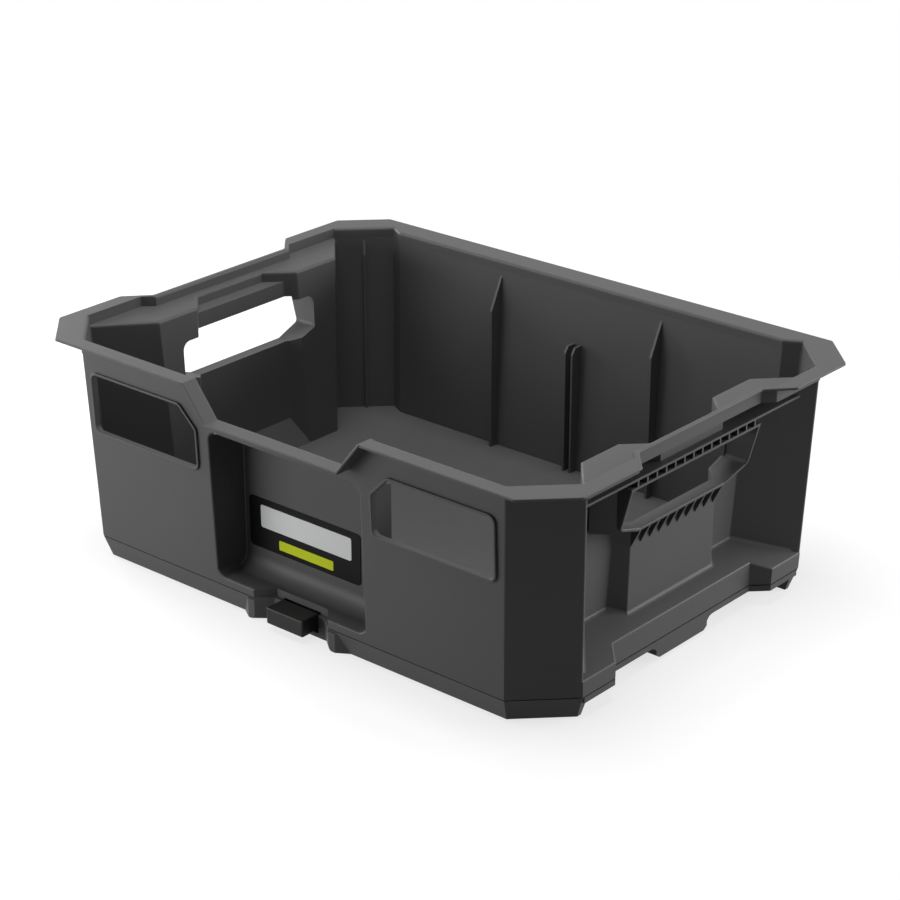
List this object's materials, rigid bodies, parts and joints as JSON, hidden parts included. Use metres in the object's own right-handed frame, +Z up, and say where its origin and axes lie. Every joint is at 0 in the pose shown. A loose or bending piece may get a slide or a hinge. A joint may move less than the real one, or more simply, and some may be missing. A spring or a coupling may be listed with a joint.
{
  "type": "stackable tool crate",
  "caption": "Open-top moulded tool crate with a stacking rim, grip openings in both ends, front windows, a lowered front with a label niche, and a spring-returned stacking latch under it.",
  "frame": {"origin": "middle of the footprint, on the surface that the crate stands on", "axes": "+X along the length towards the right end, the front with the latch faces -Y, +Z up"},
  "size_m": [0.56, 0.414, 0.199],
  "materials": {
    "body_plastic": "fine moulded grain, charcoal grey",
    "base_plastic": "fine moulded grain, charcoal grey",
    "latch_plastic": "satin black",
    "label_film": "satin black film",
    "spring_steel": "drawn wire",
    "screw_steel": "zinc plated"
  },
  "bodies": {
    "crate": {"crate_floor": "body_plastic", "front_wall": "body_plastic", "back_wall": "body_plastic", "left_end_wall": "body_plastic", "right_end_wall": "body_plastic", "left_sill": "body_plastic", "right_sill": "body_plastic", "left_grip": "body_plastic", "right_grip": "body_plastic", "stacking_rim": "body_plastic", "base_frame": "base_plastic", "latch_cover": "base_plastic", "cover_screws": "screw_steel", "base_screws": "screw_steel", "front_label": "label_film", "left_return_spring": "spring_steel", "right_return_spring": "spring_steel"},
    "latch": {"release_button": "latch_plastic", "latch_bolt": "latch_plastic"}
  },
  "joints": [
    {"name": "button_press", "type": "slide", "parent": "crate", "child": "latch", "axis": [0, 1, 0], "range_m": [0, 0.008], "stiffness_N_per_m": 900, "springref_m": -0.004, "deforming": ["left_return_spring", "right_return_spring"]}
  ]
}
